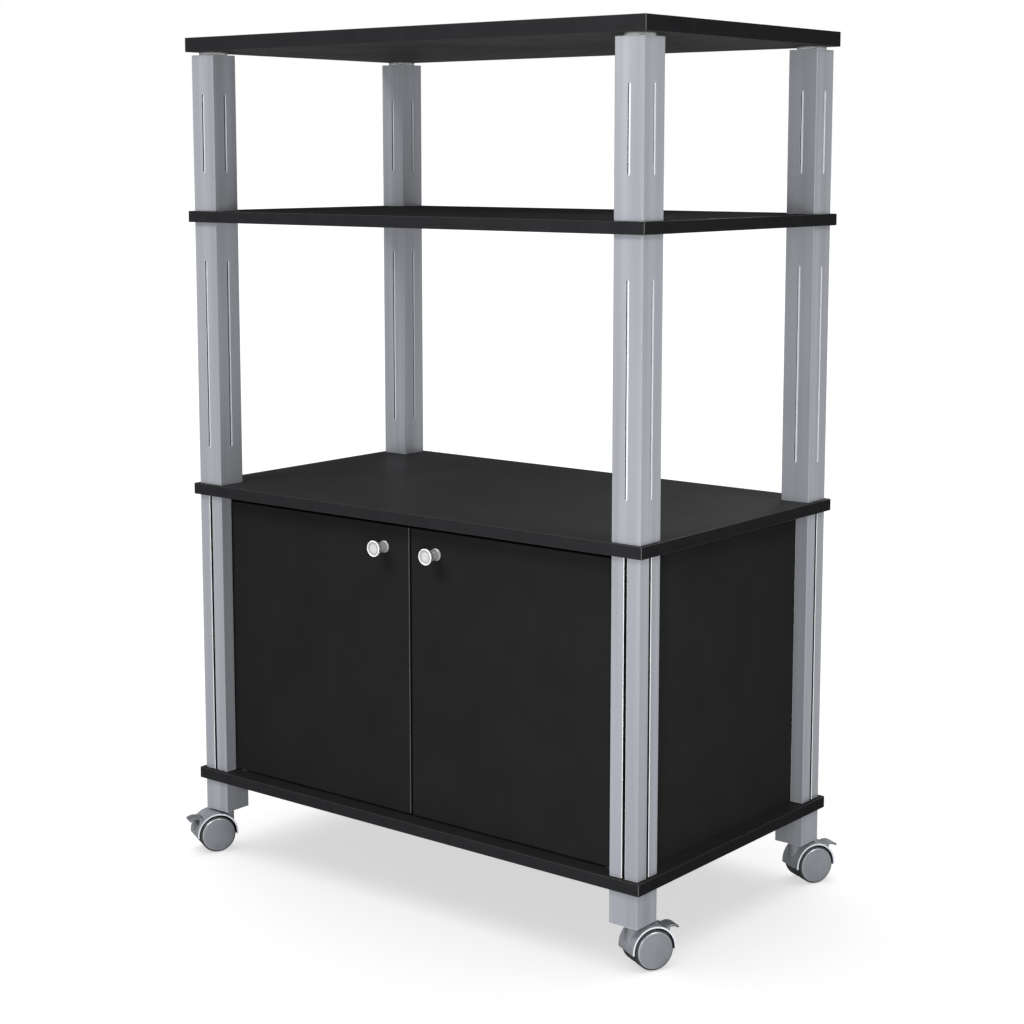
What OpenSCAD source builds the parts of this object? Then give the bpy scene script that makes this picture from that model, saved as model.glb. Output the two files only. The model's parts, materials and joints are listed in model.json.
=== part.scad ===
// Rolling microwave cart: four boards on square posts, a two-door cabinet and twin-wheel casters.
// The floor is z = 0, the front faces -Y, and the origin is under the middle of the boards.

/* [Boards] */
// Length of the boards, left to right
board_length = 600; // [480:1:800]
// Depth of the boards, front to back
board_depth = 345; // [280:1:460]
// Thickness of the base, the cabinet top and the upper shelf
board_thickness = 12; // [10:0.5:18]
// Thickness of the top board
top_thickness = 15; // [14:0.5:25]
// How far the boards stand out past the posts
board_overhang = 5; // [2:0.5:15]

/* [Posts] */
// Outside width of the square posts
post_size = 33; // [30:0.5:42]
// Wall of the posts
post_wall = 1.5; // [1.2:0.1:2.2]
// Radius of the posts' long corners
post_corner = 1.2; // [0.6:0.1:2]
// Height of the upper bay's posts
upper_height = 165; // [130:1:300]
// Height of the middle bay's posts
middle_height = 285; // [180:1:450]
// Height of the cabinet's posts
cabinet_height = 310; // [220:1:450]
// Height of the foot tubes
foot_height = 35; // [34:1:60]
// Width of the pressed slots
slot_width = 3; // [2:0.1:5]
// Depth of the pressed slots
slot_depth = 1.5; // [1:0.1:2]
// Plain length left above and below each slot
slot_margin = 41; // [25:1:60]
// Width of the cabinet posts' grooves
groove_width = 3.4; // [3.2:0.1:4.5]
// Depth of the cabinet posts' grooves
groove_depth = 7; // [5:0.1:7.5]

/* [Joining hardware] */
// Depth of the plugs in the posts' ends
plug_depth = 12; // [8:0.5:16]
// Diameter of the threaded studs
stud_diameter = 8; // [6:0.5:9]
// Diameter of the discs under the top board
disc_diameter = 30; // [24:0.5:36]
// Thickness of the discs under the top board
disc_thickness = 3.5; // [2:0.1:6]
// Diameter of the metal inserts in the top board
insert_diameter = 12; // [11:0.5:16]
// Depth of the metal inserts in the top board
insert_depth = 10; // [6:0.5:12]

/* [Cabinet] */
// Thickness of the side and back panels
panel_thickness = 3; // [2:0.1:3.1]
// Thickness of the doors
door_thickness = 12; // [10:0.5:16]
// How far the doors are set back from the front of the posts
door_recess = 14; // [6:0.5:16]
// Gap between a door and the post beside it
door_side_gap = 2; // [1.5:0.1:4]
// Gap between the two doors
door_meeting_gap = 3; // [2:0.1:6]
// Gap above and below the doors
door_end_gap = 2; // [1.5:0.1:4]
// Diameter of the doors' pivot pins
pivot_diameter = 5; // [4:0.1:6]
// Length of a pivot pin inside its bush
pivot_reach = 6; // [4:0.5:6.5]

/* [Knobs] */
// Diameter of a knob's head
knob_head_diameter = 17; // [14:0.5:30]
// Diameter of a knob's stem
knob_stem_diameter = 11; // [9:0.5:13]
// How far a knob stands out from its door
knob_length = 18; // [14:0.5:30]
// Distance from the cabinet's centre line to a knob
knob_inset = 35; // [20:1:80]
// Distance from the cabinet top down to a knob
knob_drop = 30; // [20:1:150]

/* [Casters] */
// Height of a caster under its foot tube
caster_height = 46; // [46:0.5:60]
// Diameter of the caster wheels
wheel_diameter = 40; // [34:0.5:40]
// Distance from a caster's stem back to its axle
caster_trail = 16; // [14:0.5:18]
// Width of a caster over its two wheels
caster_width = 34.6; // [32:0.1:44]
// Width of a caster's hood
hood_width = 30; // [24:0.5:30]
// Wall of a caster's hood
hood_wall = 1.7; // [1.4:0.1:2.2]
// Diameter of a caster's axle
axle_diameter = 5; // [4:0.1:6]
// Diameter of a caster's stem in its socket
stem_diameter = 8; // [6:0.5:10]
// Direction in which the right-hand casters trail, in degrees from +X
caster_turn = 63; // [0:1:359]

/* [Hidden] */
CORNERS = [
  ["front_left", -1, -1],
  ["front_right", 1, -1],
  ["back_left", -1, 1],
  ["back_right", 1, 1]
];
SIDES = [["left", -1], ["right", 1]];
$fn = 48;
eps = 0.01;

// Clearances
slide_clearance = 0.2;    // a plug in its post, a panel in its groove
running_clearance = 0.05; // a pin or shaft that turns in its bore, on the radius
stud_clearance = 0.05;    // a stud in a threaded bore, on the radius
hole_clearance = 0.3;     // a stud through a board, on the radius
swing_clearance = 0.3;    // a door's corner past the post as it swings
seat_clearance = 0.25;    // a door's edge over its bush

// Heights of the levels above the floor
foot_z = caster_height;
base_z = foot_z + foot_height;
cabinet_z = base_z + board_thickness;
cabinet_top_z = cabinet_z + cabinet_height;
middle_z = cabinet_top_z + board_thickness;
shelf_z = middle_z + middle_height;
upper_z = shelf_z + board_thickness;
disc_z = upper_z + upper_height;
top_z = disc_z + disc_thickness;

// Places of the posts' centre lines
post_x = board_length / 2 - board_overhang - post_size / 2;
post_y = board_depth / 2 - board_overhang - post_size / 2;
post_inner = post_size - 2 * post_wall;
groove_wall = 1.2;

// Door layout: each door turns on pins set in from its outer edge, so that its corner clears the post
opening_half = post_x - post_size / 2;
door_outer_x = opening_half - door_side_gap;
door_width = door_outer_x - door_meeting_gap / 2;
door_front_y = -post_y - post_size / 2 + door_recess;
door_back_y = door_front_y + door_thickness;
door_height = cabinet_height - 2 * door_end_gap;
door_z = cabinet_z + door_end_gap;
swing_slack = door_side_gap - swing_clearance;
pivot_inset = max((pow(door_thickness / 2, 2) - pow(swing_slack, 2)) / (2 * swing_slack), pivot_diameter);
pivot_x = door_outer_x - pivot_inset;
pivot_y = door_front_y + door_thickness / 2;
pivot_grip = 12;
bush_wall = 1.5;
bush_diameter = pivot_diameter + 2 * bush_wall;
bush_flange = bush_diameter + 3;
bush_depth = pivot_reach + 1.3;

// Catch and strike plates
catch_length = 46;
catch_depth = 13;
catch_height = 14;
magnet_length = 12;
magnet_height = 8;
magnet_proud = 0.5;
magnet_fit = 0.05;
magnet_x = 9;
magnet_z = cabinet_top_z - catch_height / 2;
strike_length = 14;
strike_height = 9;
strike_thickness = 1.2;
catch_front_y = door_back_y + strike_thickness + magnet_proud;
small_screw_diameter = 3;
small_screw_head = 6;
small_screw_head_height = 1.6;
small_screw_grip = 8;

// Knobs and their screws
knob_head_thickness = 2.4;
knob_neck_length = 4;
knob_rim = 1.2;
knob_dish = 0.5;
knob_screw_diameter = 4;
knob_screw_head = 8;
knob_screw_head_height = 2.2;
knob_screw_reach = 9;

// Casters, in a frame with the stem on the Z axis and the axle behind it along +X
axle_z = wheel_diameter / 2;
wheel_radius = wheel_diameter / 2;
hood_clearance = 1.7;
hood_inner = wheel_radius + hood_clearance;
hood_outer = hood_inner + hood_wall;
hood_skirt = 2.3;
web_thickness = 7.2;
wheel_inner_y = web_thickness / 2 + 0.6;
cap_thickness = 1.6;
cap_margin = 1.6;
wheel_outer_y = caster_width / 2 - cap_thickness;
axle_end_wall = 1;
axle_end_gap = 0.3;
hub_radius = axle_diameter / 2 + 3;
rim_thickness = 3.5;
rim_recess = 4;
boss_diameter = 13;
stem_flange_diameter = 14;
stem_flange = 1.2;
boss_z = foot_z - stem_flange;
boss_drop = 8;
boss_clearance = 1;
stem_pin_diameter = 7;
stem_pin_reach = 10;
pin_end_gap = 0.5;
socket_depth = 18;
stem_reach = 16;

// Brake lever, in the same frame measured from the axle
lever_angle = 44.5;
lever_pivot_r = hood_outer + 0.2;
lever_pivot_x = lever_pivot_r * cos(lever_angle);
lever_pivot_z = lever_pivot_r * sin(lever_angle);
lever_width = 15.6;
lever_gap = 0.4;
trunnion_radius = 1;
ear_radius = 2.2;
ear_thickness = 2.2;
lever_hub_radius = 2;
lever_reach = 12.4;
lever_rise = 1.9;
lever_thickness = 2;
lever_arc_radius = (pow(lever_reach / 2, 2) + pow(lever_rise, 2)) / (2 * lever_rise);
lever_half_angle = asin(lever_reach / 2 / lever_arc_radius);
lever_tip_radius = lever_thickness / 2 + 0.2;
shoe_radius = 1.2;
shoe_stalk = 1.8;
shoe_gap = 1;    // from the treads, with the lever up
shoe_offset = 4.2;
shoe_drop = lever_pivot_r - sqrt(pow(wheel_radius + shoe_gap + shoe_radius, 2) - pow(shoe_offset, 2));
shoe_x = shoe_offset * sin(lever_angle) - shoe_drop * cos(lever_angle);
shoe_z = -shoe_offset * cos(lever_angle) - shoe_drop * sin(lever_angle);
window_below = 6.4;
window_above = 2.6;
window_room = 2.5;
// Pin hole low on the hood's trailing end
pin_hole_angle = 12;
pin_hole_diameter = 2.2;
pin_hole_depth = 3;

black = "#2b2b2c";
silver = "#b4b8c0";
steel = "#c9ccd0";
hood_grey = "#707378";
cap_grey = "#8f929a";
dark_grey = "#3b3c3f";

// A square with rounded corners, centred
module rounded_square(size, radius) {
  square([size, size - 2 * radius], center = true);
  square([size - 2 * radius, size], center = true);
  for (x = [-1, 1], y = [-1, 1])
    translate([x * (size / 2 - radius), y * (size / 2 - radius)])
      circle(radius);
}

// A long slot with round ends, standing on the XZ plane and reaching from y = 0 to y = depth
module upright_slot(width, length, depth) {
  translate([-width / 2, 0, -length / 2 + width / 2])
    cube([width, depth, length - width]);
  for (z = [-1, 1])
    translate([0, 0, z * (length / 2 - width / 2)])
      rotate([-90, 0, 0])
        cylinder(d = width, h = depth);
}

// The four faces of a post in turn, each brought to the -Y side
module on_each_face() {
  for (turn = [0 : 90 : 270])
    rotate([0, 0, turn])
      children();
}

module at_corner(corner) {
  translate([corner[1] * post_x, corner[2] * post_y, 0])
    children();
}

module at_all_corners() {
  for (corner = CORNERS)
    at_corner(corner)
      children();
}

// Boards ---------------------------------------------------------------

module board(thickness, z) {
  translate([-board_length / 2, -board_depth / 2, z])
    cube([board_length, board_depth, thickness]);
}

module stud_holes(z, depth) {
  at_all_corners()
    translate([0, 0, z])
      cylinder(d = stud_diameter + 2 * hole_clearance, h = depth);
}

// Blind holes for the pivot bushes, opening at height z and going up or down from it
module bush_holes(z, up) {
  for (side = [-1, 1])
    translate([side * pivot_x, pivot_y, up ? z - eps : z - bush_depth])
      cylinder(d = bush_diameter, h = bush_depth + eps);
}

module top_board() {
  color(black)
    difference() {
      board(top_thickness, top_z);
      at_all_corners()
        translate([0, 0, top_z - eps])
          cylinder(d = insert_diameter, h = insert_depth + eps);
    }
}

module upper_shelf() {
  color(black)
    difference() {
      board(board_thickness, shelf_z);
      stud_holes(shelf_z - eps, board_thickness + 2 * eps);
    }
}

module cabinet_top() {
  color(black)
    difference() {
      board(board_thickness, cabinet_top_z);
      stud_holes(cabinet_top_z - eps, board_thickness + 2 * eps);
      bush_holes(cabinet_top_z, true);
      at_catch_screws()
        translate([0, 0, -eps])
          cylinder(d = small_screw_diameter, h = small_screw_grip + eps);
    }
}

module cabinet_base() {
  color(black)
    difference() {
      board(board_thickness, base_z);
      stud_holes(base_z - eps, board_thickness + 2 * eps);
      bush_holes(cabinet_z, false);
    }
}

// Posts ----------------------------------------------------------------

// Square tube whose slots are pressed in, so that the wall keeps its thickness behind them
module slotted_post(height) {
  slot_length = height - 2 * slot_margin;
  difference() {
    union() {
      linear_extrude(height)
        difference() {
          rounded_square(post_size, post_corner);
          square(post_inner, center = true);
        }
      on_each_face()
        translate([0, -post_inner / 2 - eps, height / 2])
          upright_slot(slot_width + 2 * post_wall, slot_length + 2 * post_wall, slot_depth + eps);
    }
    on_each_face()
      translate([0, -post_size / 2 - eps, height / 2])
        upright_slot(slot_width, slot_length, slot_depth + eps);
  }
}

// Extruded profile with a panel groove in each face
module grooved_post(height) {
  linear_extrude(height)
    difference() {
      union() {
        difference() {
          rounded_square(post_size, post_corner);
          square(post_inner, center = true);
        }
        on_each_face()
          translate([0, -post_size / 2 + (groove_depth + groove_wall + post_wall) / 2])
            square([groove_width + 2 * groove_wall, groove_depth + groove_wall - post_wall], center = true);
      }
      on_each_face()
        translate([-groove_width / 2, -post_size / 2 - eps])
          square([groove_width, groove_depth + eps]);
    }
}

module upper_post(corner) {
  color(silver)
    at_corner(corner)
      translate([0, 0, upper_z])
        slotted_post(upper_height);
}

module middle_post(corner) {
  color(silver)
    at_corner(corner)
      translate([0, 0, middle_z])
        slotted_post(middle_height);
}

module cabinet_post(corner) {
  color(silver)
    at_corner(corner)
      translate([0, 0, cabinet_z])
        grooved_post(cabinet_height);
}

module foot_tubes() {
  color(silver)
    at_all_corners()
      translate([0, 0, foot_z])
        linear_extrude(foot_height)
          difference() {
            rounded_square(post_size, post_corner);
            square(post_inner, center = true);
          }
}

// Joining hardware -----------------------------------------------------

module plug(depth) {
  linear_extrude(depth)
    difference() {
      square(post_inner - 2 * slide_clearance, center = true);
      circle(d = stud_diameter + 2 * stud_clearance);
    }
}

// A plug with a notch for each groove of the cabinet posts
module grooved_plug(depth) {
  notch = groove_depth + groove_wall - post_wall + slide_clearance;
  linear_extrude(depth)
    difference() {
      square(post_inner - 2 * slide_clearance, center = true);
      circle(d = stud_diameter + 2 * stud_clearance);
      on_each_face()
        translate([-groove_width / 2 - groove_wall - slide_clearance, -post_inner / 2])
          square([groove_width + 2 * groove_wall + 2 * slide_clearance, notch]);
    }
}

module post_plugs() {
  color(dark_grey)
    at_all_corners() {
      translate([0, 0, base_z - plug_depth])
        plug(plug_depth);
      for (z = [middle_z, shelf_z - plug_depth, upper_z, disc_z - plug_depth])
        translate([0, 0, z])
          plug(plug_depth);
      for (z = [cabinet_z, cabinet_top_z - plug_depth])
        translate([0, 0, z])
          grooved_plug(plug_depth);
    }
}

module joining_studs() {
  color(steel)
    at_all_corners()
      for (z = [base_z, cabinet_top_z, shelf_z])
        translate([0, 0, z - plug_depth])
          cylinder(d = stud_diameter, h = board_thickness + 2 * plug_depth);
}

module top_studs() {
  color(steel)
    at_all_corners()
      translate([0, 0, disc_z - plug_depth])
        cylinder(d = stud_diameter, h = plug_depth + disc_thickness + insert_depth);
}

module top_inserts() {
  color(steel)
    at_all_corners()
      translate([0, 0, top_z])
        difference() {
          cylinder(d = insert_diameter, h = insert_depth);
          translate([0, 0, -eps])
            cylinder(d = stud_diameter + 2 * stud_clearance, h = insert_depth + 2 * eps);
        }
}

module top_discs() {
  color(steel)
    at_all_corners()
      translate([0, 0, disc_z])
        difference() {
          cylinder(d = disc_diameter, h = disc_thickness);
          translate([0, 0, -eps])
            cylinder(d = stud_diameter + 2 * stud_clearance, h = disc_thickness + 2 * eps);
        }
}

// Cabinet --------------------------------------------------------------

// How far a panel reaches from a post's centre line into its groove's floor
panel_grip = post_size / 2 - groove_depth + slide_clearance;

module side_panel(side) {
  panel_depth = 2 * (post_y - panel_grip);
  color(black)
    translate([side * post_x - panel_thickness / 2, -panel_depth / 2, cabinet_z])
      cube([panel_thickness, panel_depth, cabinet_height]);
}

module back_panel() {
  panel_length = 2 * (post_x - panel_grip);
  color(black)
    translate([-panel_length / 2, post_y - panel_thickness / 2, cabinet_z])
      cube([panel_length, panel_thickness, cabinet_height]);
}

module at_pivots(side) {
  translate([side * pivot_x, pivot_y, 0])
    children();
}

module at_knob(side) {
  translate([side * knob_inset, door_front_y, cabinet_top_z - knob_drop])
    children();
}

module at_strike(side) {
  translate([side * magnet_x, door_back_y, magnet_z])
    children();
}

module door(side) {
  color(black)
    difference() {
      translate([side > 0 ? door_meeting_gap / 2 : -door_outer_x, door_front_y, door_z])
        cube([door_width, door_thickness, door_height]);
      at_pivots(side)
        for (z = [door_z - eps, door_z + door_height - pivot_grip])
          translate([0, 0, z])
            cylinder(d = pivot_diameter, h = pivot_grip + eps);
      at_knob(side)
        translate([0, -eps, 0])
          rotate([-90, 0, 0])
            cylinder(d = knob_screw_diameter + 2 * slide_clearance, h = door_thickness + 2 * eps);
      at_strike(side)
        rotate([90, 0, 0])
          translate([0, 0, -eps])
            cylinder(d = small_screw_diameter, h = small_screw_grip + eps);
    }
}

// Turned knob: a stem, a flared neck and a flat head with a raised rim
module knob(side) {
  head_radius = knob_head_diameter / 2;
  stem_radius = knob_stem_diameter / 2;
  head_back = knob_length - knob_head_thickness;
  color(steel)
    at_knob(side)
      rotate([90, 0, 0])
        difference() {
          rotate_extrude()
            polygon([
              [0, 0],
              [stem_radius, 0],
              [stem_radius, head_back - knob_neck_length],
              [head_radius, head_back],
              [head_radius, knob_length - knob_dish],
              [head_radius - knob_dish, knob_length],
              [head_radius - knob_rim, knob_length],
              [head_radius - knob_rim - knob_dish, knob_length - knob_dish],
              [0, knob_length - knob_dish]
            ]);
          translate([0, 0, -eps])
            cylinder(d = knob_screw_diameter, h = knob_screw_reach + eps);
        }
}

module knob_screw(side) {
  color(steel)
    at_knob(side)
      rotate([90, 0, 0]) {
        translate([0, 0, -door_thickness])
          cylinder(d = knob_screw_diameter, h = door_thickness + knob_screw_reach);
        translate([0, 0, -door_thickness - knob_screw_head_height])
          cylinder(d = knob_screw_head, h = knob_screw_head_height);
      }
}

module pivot_pins(side) {
  color(steel)
    at_pivots(side)
      for (z = [cabinet_z - pivot_reach, cabinet_top_z - door_end_gap - pivot_grip])
        translate([0, 0, z])
          cylinder(d = pivot_diameter, h = pivot_grip + door_end_gap + pivot_reach);
}

// Flanged bush, standing on z = 0 with its sleeve below
module pivot_bush(flange_height) {
  difference() {
    union() {
      translate([0, 0, -bush_depth])
        cylinder(d = bush_diameter, h = bush_depth + flange_height);
      cylinder(d = bush_flange, h = flange_height);
    }
    translate([0, 0, -pivot_reach - pin_end_gap])
      cylinder(d = pivot_diameter + 2 * running_clearance, h = pivot_reach + door_end_gap + 1);
  }
}

// The doors stand on the lower bushes' flanges
module pivot_bushes() {
  color(dark_grey)
    for (side = [-1, 1])
      at_pivots(side) {
        translate([0, 0, cabinet_z])
          pivot_bush(door_end_gap);
        translate([0, 0, cabinet_top_z])
          mirror([0, 0, 1])
            pivot_bush(door_end_gap - seat_clearance);
      }
}

module at_magnets() {
  for (side = [-1, 1])
    translate([side * magnet_x, catch_front_y, magnet_z])
      children();
}

module at_catch_screws() {
  for (side = [-1, 1])
    translate([side * (catch_length / 2 - small_screw_head / 2), catch_front_y + catch_depth / 2, cabinet_top_z])
      children();
}

// Housing screwed under the cabinet top, with one magnet for each door as a solid of its own
module magnetic_catch() {
  magnet_depth = catch_depth / 2;
  color(dark_grey) {
    difference() {
      translate([-catch_length / 2, catch_front_y, cabinet_top_z - catch_height])
        cube([catch_length, catch_depth, catch_height]);
      at_magnets()
        translate([-magnet_length / 2 - magnet_fit, -eps, -magnet_height / 2 - magnet_fit])
          cube([magnet_length + 2 * magnet_fit, magnet_depth + magnet_fit + eps, magnet_height + 2 * magnet_fit]);
      at_catch_screws()
        translate([0, 0, -catch_height - eps])
          cylinder(d = small_screw_diameter, h = catch_height + 2 * eps);
    }
    at_magnets()
      translate([-magnet_length / 2, -magnet_proud, -magnet_height / 2])
        cube([magnet_length, magnet_depth + magnet_proud, magnet_height]);
  }
}

// A screw with its head below z = 0 and its shank rising from it
module small_screw(shank) {
  cylinder(d = small_screw_diameter, h = shank);
  translate([0, 0, -small_screw_head_height])
    cylinder(d = small_screw_head, h = small_screw_head_height);
}

module catch_screws() {
  color(steel)
    at_catch_screws()
      translate([0, 0, -catch_height])
        small_screw(catch_height + small_screw_grip);
}

// Steel plate on the door's back, with the screw that holds it
module strike_plate(side) {
  color(steel)
    at_strike(side)
      rotate([90, 0, 0]) {
        difference() {
          translate([-strike_length / 2, -strike_height / 2, -strike_thickness])
            cube([strike_length, strike_height, strike_thickness]);
          translate([0, 0, -strike_thickness - eps])
            cylinder(d = small_screw_diameter, h = strike_thickness + 2 * eps);
        }
        translate([0, 0, -strike_thickness])
          cylinder(d = small_screw_diameter, h = strike_thickness + small_screw_grip);
      }
}

// Casters --------------------------------------------------------------

module at_caster(corner) {
  at_corner(corner)
    rotate([0, 0, caster_turn + (corner[1] < 0 ? 180 : 0)])
      children();
}

// The axle's frame: Z runs along the axle, towards the caster's left
module on_axle() {
  translate([caster_trail, 0, axle_z])
    rotate([-90, 0, 0])
      children();
}

module caster_sockets() {
  color(dark_grey)
    at_all_corners()
      translate([0, 0, foot_z])
        linear_extrude(socket_depth)
          difference() {
            square(post_inner - 2 * slide_clearance, center = true);
            circle(d = stem_diameter + 2 * stud_clearance);
          }
}

module caster_stems() {
  color(steel)
    at_all_corners() {
      translate([0, 0, foot_z])
        cylinder(d = stem_diameter, h = stem_reach);
      translate([0, 0, boss_z])
        cylinder(d = stem_flange_diameter, h = stem_flange);
      translate([0, 0, boss_z - stem_pin_reach])
        cylinder(d = stem_pin_diameter, h = stem_pin_reach);
    }
}

// Side view of the drum's solid part, above the skirt, out to a radius
module drum_profile(radius) {
  intersection() {
    circle(radius, $fn = 96);
    translate([-2 * radius, -hood_skirt])
      square([4 * radius, 4 * radius]);
  }
}

// A side view, drawn round the axle with Y up, made a given width about the caster's middle plane
module across_caster(width) {
  translate([caster_trail, 0, axle_z])
    rotate([90, 0, 0])
      linear_extrude(width, center = true)
        children();
}

module caster_hood(corner) {
  ear_y = lever_width / 2 + lever_gap;
  color(hood_grey)
    at_caster(corner)
      difference() {
        union() {
          // Drum wall and middle web, with a window for the lever
          difference() {
            union() {
              across_caster(hood_width)
                difference() {
                  drum_profile(hood_outer);
                  circle(hood_inner, $fn = 96);
                }
              across_caster(web_thickness)
                drum_profile(hood_outer - hood_wall / 2);
            }
            across_caster(2 * ear_y)
              rotate(lever_angle)
                translate([wheel_radius - window_room, -window_below])
                  square([hood_outer, window_below + window_above]);
          }
          // Boss round the stem, clear of the wheels
          difference() {
            translate([0, 0, axle_z + boss_drop])
              cylinder(d = boss_diameter, h = boss_z - axle_z - boss_drop);
            for (side = [-1, 1])
              translate([0, side * (web_thickness / 2 + hood_width / 2 - eps), 0])
                across_caster(hood_width)
                  circle(wheel_radius + boss_clearance, $fn = 96);
          }
          // Ears that carry the lever
          for (side = [-1, 1])
            translate([0, side * (ear_y + ear_thickness / 2), 0])
              across_caster(ear_thickness)
                translate([lever_pivot_x, lever_pivot_z])
                  circle(ear_radius);
        }
        // Bores for the stem's pin, the lever's trunnions and the axle, and the small pin hole
        translate([0, 0, boss_z - stem_pin_reach - pin_end_gap])
          cylinder(r = stem_pin_diameter / 2 + running_clearance, h = stem_pin_reach + pin_end_gap + 1);
        across_caster(2 * (ear_y + ear_thickness) + 1)
          translate([lever_pivot_x, lever_pivot_z])
            circle(trunnion_radius + running_clearance);
        across_caster(hood_width)
          circle(d = axle_diameter);
        translate([caster_trail, 0, axle_z])
          rotate([0, 90 - pin_hole_angle, 0])
            translate([0, 0, hood_outer - pin_hole_depth])
              cylinder(d = pin_hole_diameter, h = pin_hole_depth + 1);
      }
}

module caster_axle(corner) {
  color(steel)
    at_caster(corner)
      on_axle()
        cylinder(d = axle_diameter, h = 2 * (wheel_outer_y - axle_end_wall - axle_end_gap), center = true);
}

// Half-profile of a wheel and its cap, from the caster's middle out along Z
module wheel_profile() {
  bore = axle_diameter / 2 + running_clearance;
  edge = 0.8;
  polygon([
    [bore, wheel_inner_y],
    [hub_radius, wheel_inner_y],
    [hub_radius, wheel_inner_y + rim_recess],
    [wheel_radius - rim_thickness, wheel_inner_y + rim_recess],
    [wheel_radius - rim_thickness, wheel_inner_y],
    [wheel_radius - edge, wheel_inner_y],
    [wheel_radius, wheel_inner_y + edge],
    [wheel_radius, wheel_outer_y - edge],
    [wheel_radius - edge, wheel_outer_y],
    [0, wheel_outer_y],
    [0, wheel_outer_y - axle_end_wall],
    [bore, wheel_outer_y - axle_end_wall]
  ]);
}

module cap_profile() {
  cap_radius = wheel_radius - cap_margin;
  shoulder = cap_thickness * 0.6;
  polygon([
    [0, wheel_outer_y],
    [cap_radius, wheel_outer_y],
    [cap_radius, wheel_outer_y + cap_thickness - shoulder],
    [cap_radius - shoulder, wheel_outer_y + cap_thickness],
    [0, wheel_outer_y + cap_thickness]
  ]);
}

// A wheel with its snapped-on cap
module caster_wheel(corner, side) {
  color(cap_grey)
    at_caster(corner)
      on_axle()
        mirror([0, 0, side < 0 ? 1 : 0]) {
          rotate_extrude($fn = 96)
            wheel_profile();
          rotate_extrude($fn = 96)
            cap_profile();
        }
}

// Paddle bent over the hood's end, on trunnions, with a shoe that comes down on both treads
module caster_lever(corner) {
  arc_x = lever_reach / 2;
  arc_z = lever_rise - lever_arc_radius;
  outer = lever_arc_radius + lever_thickness / 2;
  wedge = 2 * outer;
  shoe_length = norm([shoe_x, shoe_z]);
  shoe_angle = atan2(shoe_z, shoe_x);
  color(hood_grey)
    at_caster(corner)
      translate([caster_trail + lever_pivot_x, 0, axle_z + lever_pivot_z])
        rotate([90, 0, 0]) {
          linear_extrude(lever_width, center = true) {
            circle(lever_hub_radius);
            // Arm: a sector of a ring
            translate([arc_x, arc_z])
              intersection() {
                difference() {
                  circle(outer, $fn = 96);
                  circle(outer - lever_thickness, $fn = 96);
                }
                polygon([
                  [0, 0],
                  wedge * [sin(lever_half_angle), cos(lever_half_angle)],
                  [0, wedge],
                  wedge * [-sin(lever_half_angle), cos(lever_half_angle)]
                ]);
              }
            translate([lever_reach, 0])
              circle(lever_tip_radius);
            // Shoe
            rotate(shoe_angle)
              translate([0, -shoe_stalk / 2])
                square([shoe_length, shoe_stalk]);
            translate([shoe_x, shoe_z])
              circle(shoe_radius);
          }
          cylinder(r = trunnion_radius, h = lever_width + 2 * (lever_gap + ear_thickness), center = true);
        }
}

top_board();
upper_shelf();
cabinet_top();
cabinet_base();
for (c = CORNERS) {
  upper_post(c);
  middle_post(c);
  cabinet_post(c);
}
foot_tubes();
post_plugs();
joining_studs();
top_studs();
top_inserts();
top_discs();
for (s = SIDES) {
  side_panel(s[1]);
  door(s[1]);
  knob(s[1]);
  knob_screw(s[1]);
  pivot_pins(s[1]);
  strike_plate(s[1]);
}
back_panel();
pivot_bushes();
magnetic_catch();
catch_screws();
caster_sockets();
caster_stems();
for (c = CORNERS) {
  caster_hood(c);
  caster_axle(c);
  caster_lever(c);
  for (s = SIDES)
    caster_wheel(c, s[1]);
}
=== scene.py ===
# %% [markdown]
# # Rolling microwave cart
# The real cart has four black laminate boards, silver square posts, a cabinet with two doors, and four
# casters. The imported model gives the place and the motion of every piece. This script dresses it: some pieces
# are made again with softer edges and finer shapes, and every surface gets a finish made from noise and bump.

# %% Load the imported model
import json
import math

import bmesh
import bpy
from mathutils import Matrix, Vector


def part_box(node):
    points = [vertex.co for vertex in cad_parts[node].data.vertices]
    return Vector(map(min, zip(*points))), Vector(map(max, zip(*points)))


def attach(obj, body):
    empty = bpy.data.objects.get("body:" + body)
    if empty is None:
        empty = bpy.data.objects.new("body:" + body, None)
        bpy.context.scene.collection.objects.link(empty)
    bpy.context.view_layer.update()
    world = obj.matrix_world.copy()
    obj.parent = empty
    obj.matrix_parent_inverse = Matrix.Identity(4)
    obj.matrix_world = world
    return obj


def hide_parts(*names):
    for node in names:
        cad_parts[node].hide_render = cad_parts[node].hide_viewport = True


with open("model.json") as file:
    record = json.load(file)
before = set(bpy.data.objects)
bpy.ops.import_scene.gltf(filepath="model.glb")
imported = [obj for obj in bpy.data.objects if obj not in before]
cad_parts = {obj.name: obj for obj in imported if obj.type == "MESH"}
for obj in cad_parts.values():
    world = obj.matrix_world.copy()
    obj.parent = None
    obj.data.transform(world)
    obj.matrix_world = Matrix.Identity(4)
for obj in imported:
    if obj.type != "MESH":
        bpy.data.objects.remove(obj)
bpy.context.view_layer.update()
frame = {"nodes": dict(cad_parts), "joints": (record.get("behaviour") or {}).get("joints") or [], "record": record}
MM = 0.001

# %% [markdown]
# ## Camera
# The photograph's camera was solved from 70 corners of boards and posts. It stands a little over two metres
# from the cart, level with its upper bay, and its lens is about 71 mm on a 36 mm frame. A large lens shift
# would keep the uprights parallel, but it would also throw the cart off centre in every other view. So the
# camera tilts down instead, and a small shift does the rest.

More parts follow.
